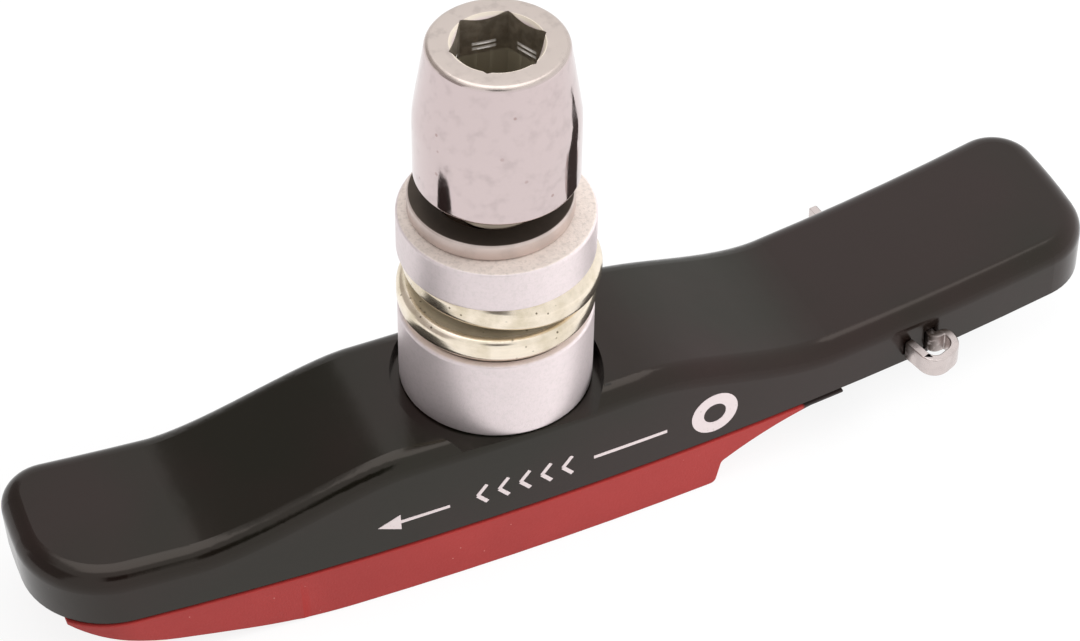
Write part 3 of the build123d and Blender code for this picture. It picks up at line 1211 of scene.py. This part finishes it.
@dataclass
class WasherStack:
    """Two cup washers, two dome washers between them, and a flat washer on top."""

    cup_radius: float = 6.0
    cup_mouth_radius: float = 5.5
    cup_bore_radius: float = 3.3
    cup_edge_radius: float = 0.2
    lower_cup_height: float = 5.85
    upper_cup_height: float = 2.9
    ball_clearance: float = 0.04
    dome_radius: float = 6.05
    dome_bore_radius: float = 3.9
    dome_face_offset: float = 3.0995
    dome_edge_radius: float = 0.58
    dome_edge_reach: float = 0.5
    dome_gap: float = 0.56
    dome_swing: float = 5.3
    bore_edge_radius: float = 0.12
    washer_radius: float = 5.0
    washer_thickness: float = 1.15
    washer_bore_radius: float = 3.45
    washer_slip: Pair = (-0.23, 0.33)
    washer_edge_radius: float = 0.2
    washer_bore_edge_radius: float = 0.1

    def __post_init__(self) -> None:
        """Work out the heights of the stack from the seat upwards."""
        self.mouth_drop = sqrt(BALL_RADIUS**2 - self.cup_mouth_radius**2)
        self.lower_ball = self.lower_cup_height + self.mouth_drop
        self.upper_ball = self.lower_ball - 2 * self.dome_face_offset + self.dome_gap
        self.washer_foot = WASHER_TOP - self.washer_thickness

    def cup(self, height: float, side: int) -> Outline:
        """Outline of a cup washer about its ball's middle.

        Args:
            height: From its mouth to its flat back.
            side: 1 with the ball below it, -1 with the ball above it.

        Returns:
            Closed outline.
        """
        mouth = side * self.mouth_drop
        back = mouth + side * height
        edge = self.cup_edge_radius
        corners = [(self.cup_bore_radius, back, self.bore_edge_radius), (self.cup_radius, back, edge),
                   (self.cup_radius, mouth, edge)]
        return rounded(corners + ball_arc(BALL_RADIUS, self.cup_mouth_radius, self.cup_bore_radius, side),
                       steps=4)

    def dome(self, side: int) -> Outline:
        """Outline of a dome washer about its ball's middle.

        Args:
            side: 1 with the ball face above, -1 with it below.

        Returns:
            Closed outline.
        """
        surface = BALL_RADIUS - self.ball_clearance
        face = side * self.dome_face_offset
        shoulder = side * sqrt(surface**2 - self.dome_radius**2)
        edge = self.dome_edge_radius
        corners = [(self.dome_bore_radius, face, self.bore_edge_radius), (self.dome_radius, face, edge),
                   (self.dome_radius, shoulder, edge)]
        start = self.dome_radius - self.dome_edge_reach
        return rounded(corners + ball_arc(surface, start, self.dome_bore_radius, side), steps=6)

    def flat(self) -> Outline:
        """Outline of the flat washer from its foot.

        Returns:
            Closed outline.
        """
        edge, bore_edge = self.washer_edge_radius, self.washer_bore_edge_radius
        return rounded([(self.washer_bore_radius, 0.0, bore_edge), (self.washer_radius, 0.0, edge),
                        (self.washer_radius, self.washer_thickness, edge),
                        (self.washer_bore_radius, self.washer_thickness, bore_edge)], steps=4)

    def build(self) -> list[bpy.types.Object]:
        """Turn and dress the five washers.

        Returns:
            The washers from the seat upwards.
        """
        lower, upper = post_place(self.lower_ball), post_place(self.upper_ball)
        swung = post_place(self.upper_ball, self.dome_swing)
        slipped = post_place(self.washer_foot) @ Matrix.Translation((*self.washer_slip, 0.0))
        cup, dome = ("cup_silver", Finishes.CUP), ("dome_zinc", Finishes.DOME)
        return [
            Piece("lower_cup", *cup, "lower_cup_washer").turned(self.cup(self.lower_cup_height, -1), lower),
            Piece("lower_dome", *dome, "lower_dome_washer").turned(self.dome(-1), lower),
            Piece("upper_dome", *dome, "upper_dome_washer").turned(self.dome(1), swung),
            Piece("upper_cup", *cup, "upper_cup_washer").turned(self.cup(self.upper_cup_height, 1), upper),
            Piece("top_washer", "washer_steel", Finishes.WASHER, "flat_washer").turned(self.flat(), slipped),
        ]


@dataclass
class PostAndNut:
    """Threaded post, and the barrel nut run part of the way down it."""

    nut_radius: float = 4.95
    nut_rim_radius: float = 4.15
    nut_straight_height: float = 4.5
    nut_rim_fillet: float = 0.38
    nut_knee_fillet: float = 9.0
    nut_foot_chamfer: float = 0.3
    nut_lead_in_edge: float = 0.08
    nut_bore_radius: float = 3.05
    nut_lead_in: float = 0.5
    socket_width: float = 5.0
    socket_depth: float = 5.0
    socket_mouth_depth: float = 0.25
    socket_heading: float = -4.5
    socket_lip_fall: float = 0.01
    socket_floor_chamfer: float = 0.05
    relief_radius: float = 2.45
    relief_depths: tuple[float, float, float] = (0.02, 0.6, 1.0)
    score_radius: float = 2.57
    score_half_widths: Pair = (0.1, 0.05)
    post_top: float = 20.3
    post_chamfer: float = 0.5
    core_radius: float = 2.5
    crest_radius: float = 2.98
    thread_pitch: float = 1.0
    thread_start: float = -0.2
    ridge_share: float = 0.75
    neck_top: float = -0.6
    end_chamfer: float = 0.2
    head_radius: float = 3.8
    head_bottom: float = -3.4
    head_height: float = 1.3

    def nut_rings(self) -> list[Ring]:
        """Rings down the nut's outside, over its rim, and down its hexagon socket and its bore.

        Returns:
            Closed chain of rings, in heights up the post.
        """
        knee = NUT_FOOT + self.nut_straight_height
        bore, lead_in = self.nut_bore_radius, self.nut_lead_in
        skin = rounded([(bore + lead_in, NUT_FOOT, self.nut_lead_in_edge),
                        (self.nut_radius, NUT_FOOT, self.nut_foot_chamfer),
                        (self.nut_radius, knee, self.nut_knee_fillet),
                        (self.nut_rim_radius, NUT_TOP, self.nut_rim_fillet), (bore, NUT_TOP, 0.0)],
                       steps=8)
        half = self.socket_width / 2
        mouth = Finishes.NUT.value.mouth_radius
        floor = NUT_TOP - self.socket_depth

        def hexagon(angle: float) -> float:
            """Distance to the socket's wall at an angle."""
            return half / cos(angle % (pi / 3) - pi / 6)

        def lip(angle: float) -> Pair:
            """Find where the socket's chamfer meets its wall.

            Args:
                angle: Angle about the post.

            Returns:
                Distance from the post's axis and height up it.
            """
            reach = hexagon(angle)
            fall = max(0.0, mouth - reach) / (mouth - half)
            return (reach, NUT_TOP - self.socket_lip_fall - fall * self.socket_mouth_depth)

        def opening(reach: float, height: float) -> Ring:
            """Ring that follows the hexagon, or a circle where that is wider."""
            return lambda angle: (max(reach, hexagon(angle)), height)

        wide, narrow = self.score_half_widths
        scores = []
        for depth in Finishes.NUT.value.score_depths:
            middle = NUT_TOP - depth
            scores += [opening(0.0, middle + wide), opening(self.score_radius, middle + narrow),
                       opening(self.score_radius, middle - narrow), opening(0.0, middle - wide)]
        chamfer = self.socket_floor_chamfer
        top, bottom, cone = self.relief_depths
        relief = [(self.relief_radius, floor - top), (self.relief_radius, floor - bottom),
                  (bore, floor - cone), (bore, NUT_FOOT + lead_in)]
        return [*circles(skin), opening(mouth, NUT_TOP), lip, *scores, opening(0.0, floor + chamfer),
                lambda angle: (hexagon(angle) - chamfer, floor), *circles(relief)]

    def nut(self) -> bpy.types.Object:
        """Skin and dress the nut.

        Returns:
            The nut.
        """
        piece = Piece("nut_barrel", "nut_chrome", Finishes.NUT, "barrel_nut")
        mesh = lofted(piece.name, self.nut_rings(), segments=144)
        mesh.transform(post_place(0.0) @ Matrix.Rotation(radians(self.socket_heading), 4, "Z"))
        reshape(mesh, close_outward)
        made = piece.from_mesh(mesh)
        smooth(made, angle=30.0)
        return made

    def core(self) -> Outline:
        """Section of the post without its thread, with its head at the bottom.

        Returns:
            Open outline from the axis to the axis.
        """
        head_top = self.head_bottom + self.head_height
        chamfer = self.end_chamfer
        return [(0.0, self.head_bottom), (self.head_radius - chamfer, self.head_bottom),
                (self.head_radius, self.head_bottom + chamfer), (self.head_radius, head_top),
                (self.crest_radius, head_top), (self.crest_radius, self.neck_top),
                (self.core_radius, self.thread_start), (self.core_radius, self.post_top - chamfer),
                (self.core_radius - chamfer, self.post_top), (0.0, self.post_top)]

    def post(self) -> bpy.types.Object:
        """Turn the headed core and wind its thread with Geometry Nodes.

        Returns:
            The post.
        """
        piece = Piece("post_thread", "post_steel", Finishes.POST, "threaded_post")
        made = linked(piece.name, lofted(piece.name, circles(self.core()), segments=64))
        length = self.post_top - self.post_chamfer
        tree = Tree("wind_thread", {
            "Turns": length / self.thread_pitch, "Steps": 36, "Radius": self.core_radius, "Length": length,
            "Ridge": (self.crest_radius - self.core_radius) / self.ridge_share}, piece.finish)
        radius = tree.given("Radius")
        helix = tree.node("GeometryNodeCurveSpiral", None, {
            "Resolution": tree.given("Steps"), "Rotations": tree.given("Turns"), "Start Radius": radius,
            "End Radius": radius, "Height": tree.given("Length")})
        wound = tree.swept(helix, tree.circle(tree.given("Ridge"), 6), caps=True)
        tree.run(tree.joined([wound, tree.given("Geometry")]), made)
        made.data.transform(post_place(0.0))
        reshape(made.data, close_outward)
        piece.declare(made)
        smooth(made, angle=35.0)
        return made

    def build(self) -> list[bpy.types.Object]:
        """Build the post and the nut."""
        return [self.post(), self.nut()]


@dataclass
class Studio:
    """Pale floor, soft light and the camera of the photograph.

    The camera's distance is in millimetres, and the floor's sizes are in metres.
    """

    azimuth: float = -24.0
    elevation: float = 43.84
    roll: float = 1.15
    distance: float = 190.0
    focal_pixels: float = 3066.6
    seat_pixel: Pair = (495.66, 367.2)
    picture: tuple[int, int] = (1080, 641)
    sensor_width: float = 36.0
    sky: float = 0.7
    key_power: float = 0.3
    top_power: float = 1.0
    side_power: float = 3.0
    floor_show: float = 0.85
    floor_reach: float = 1.2
    floor_drop: float = 0.00005
    cloth: Colour = (0.9, 0.9, 0.9)

    def camera(self) -> None:
        """Set the camera so that the post's seat falls on its pixel."""
        heading, rise, roll = radians(self.azimuth), radians(self.elevation), radians(self.roll)
        back = Vector((sin(heading) * cos(rise), -cos(heading) * cos(rise), sin(rise)))
        right = (-back).cross(Vector((0, 0, 1))).normalized()
        up = right.cross(-back)
        right, up = right * cos(roll) + up * sin(roll), up * cos(roll) - right * sin(roll)
        aside = (self.seat_pixel[0] - self.picture[0] / 2) / self.focal_pixels * self.distance
        above = -(self.seat_pixel[1] - self.picture[1] / 2) / self.focal_pixels * self.distance
        spot = back * self.distance - right * aside - up * above
        turn = Matrix.Rotation(LEAN, 3, "Y")
        place = Matrix((turn @ right, turn @ up, turn @ back)).transposed().to_4x4()
        place.translation = (turn @ spot + Vector((0, 0, SEAT_HEIGHT))) * MM
        data = bpy.data.cameras.new("photo_camera")
        data.sensor_width = self.sensor_width
        data.lens = self.focal_pixels / self.picture[0] * self.sensor_width
        data.clip_start, data.clip_end = 0.01, 10.0
        camera = linked("photo_camera", data)
        camera.matrix_world = place
        bpy.context.scene.camera = camera

    def seen_white(self, graph: Graph) -> Wire:
        """Tell the rays that show white from those that light the object.

        Args:
            graph: Tree of a material or world.

        Returns:
            1 for camera, mirror and glass rays, and 0 for others.
        """
        path = graph.node("ShaderNodeLightPath")
        names = ("Is Camera Ray", "Is Glossy Ray", "Is Transmission Ray")
        camera, glossy, glass = (Wire(graph, path.socket.node.outputs[name]) for name in names)
        return camera.most(glossy).most(glass)

    def stage_square(self, name: str, half: float, place: Matrix,
                     shade: Callable[[Graph], Wire]) -> bpy.types.Object:
        """Flat square that belongs to the studio.

        Args:
            name: Name of the square and its material.
            half: Half of its side in metres.
            place: Its place.
            shade: Adds the shader to the tree of its material.

        Returns:
            The new object.
        """
        mesh = bpy.data.meshes.new(name)
        corners = [(x * half, y * half, 0.0) for x, y in ((-1, -1), (1, -1), (1, 1), (-1, 1))]
        mesh.from_pydata(corners, [], [(0, 1, 2, 3)])
        mesh.transform(place)
        material = bpy.data.materials.new(name)
        graph = Graph(emptied(material))
        graph.node("ShaderNodeOutputMaterial", None, {"Surface": shade(graph)})
        mesh.materials.append(material)
        made = linked(name, mesh)
        made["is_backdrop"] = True
        return made

    def floor(self) -> None:
        """Pale floor that shows white and keeps a soft shadow."""

        def shade(graph: Graph) -> Wire:
            """Mix lit cloth with plain white where the floor is seen.

            Args:
                graph: Tree of the floor's material.

            Returns:
                The mixed shader.
            """
            cloth = graph.node("ShaderNodeBsdfDiffuse", None, {"Color": (*self.cloth, 1.0)})
            white = graph.node("ShaderNodeEmission", None, {"Color": WHITE, "Strength": 1.0})
            share = self.seen_white(graph) * self.floor_show
            return graph.node("ShaderNodeMixShader", None, {0: share, 1: cloth, 2: white})

        self.stage_square("floor", self.floor_reach, Matrix.Translation((0, 0, -self.floor_drop)), shade)

    def world(self) -> None:
        """White surroundings whose light on the object is plain."""
        world = bpy.data.worlds.new("white_room")
        graph = Graph(emptied(world))
        strength = self.sky + self.seen_white(graph) * (1.0 - self.sky)
        sky = graph.node("ShaderNodeBackground", None, {"Color": WHITE, "Strength": strength})
        graph.node("ShaderNodeOutputWorld", None, {"Surface": sky})
        bpy.context.scene.world = world

    def lamp(self, name: str, spot: Spot, size: float, power: float, mirrored: bool = True) -> None:
        """Soft square lamp that faces the pad.

        Args:
            name: Name of the lamp.
            spot: Its place in metres.
            size: Its side in metres.
            power: Radiant power in watts.
            mirrored: Whether shiny surfaces show it.
        """
        data = bpy.data.lights.new(name, "AREA")
        data.size = size
        data.energy = power
        lamp = linked(name, data)
        lamp.location = spot
        lamp.rotation_euler = (-Vector(spot)).to_track_quat("-Z", "Y").to_euler()
        lamp.visible_glossy = mirrored

    def card(self, name: str, middle: Spot, size: float, tone: Colour) -> None:
        """Card that only mirrors see.

        Args:
            name: Name of the card.
            middle: Its middle in metres.
            size: Its side in metres.
            tone: Its colour and brightness.
        """
        turn = (-Vector(middle)).to_track_quat("Z", "Y").to_matrix().to_4x4()
        card = self.stage_square(name, size / 2, Matrix.Translation(middle) @ turn, lambda graph: graph.node(
            "ShaderNodeEmission", None, {"Color": (*tone, 1.0)}))
        card.visible_camera = False
        card.visible_diffuse = False
        card.visible_shadow = False

    def build(self) -> None:
        """Set up camera, floor, surroundings, lamps and cards."""
        bpy.context.scene.view_settings.view_transform = "Standard"
        self.camera()
        self.floor()
        self.world()
        self.lamp("key_softbox", (-0.25, -0.15, 0.5), size=0.35, power=self.key_power, mirrored=False)
        self.lamp("top_softbox", (0.05, 0.1, 0.6), size=0.5, power=self.top_power)
        self.lamp("right_softbox", (0.4, -0.12, 0.18), size=0.3, power=self.side_power, mirrored=False)
        self.card("camera_side_card", (-0.1, -0.29, 0.285), size=0.16, tone=(0.04, 0.034, 0.03))
        self.card("left_card", (-0.4, 0.02, 0.2), size=0.34, tone=(0.42, 0.387, 0.378))
        self.card("back_left_card", (-0.26, 0.35, 0.3), size=0.46, tone=(0.45, 0.42, 0.4))


def main() -> None:
    """Build the scene in order and report each piece."""
    logging.basicConfig(level=logging.INFO, format="%(name)s: %(message)s")
    Studio().build()
    assemblies = [Carrier(), FrictionInsert(), RetainingPin(), WasherStack(), PostAndNut()]
    for assembly in assemblies:
        for piece in assembly.build():
            log.info("%s: %s, %d faces", type(assembly).__name__, piece.name, len(piece.data.polygons))
    looks_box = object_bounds()
    boxes = {"cad": cad_box, "visual": looks_box}
    {name: [list(corner) for corner in box] for name, box in boxes.items()}


if __name__ == "__main__":
    main()
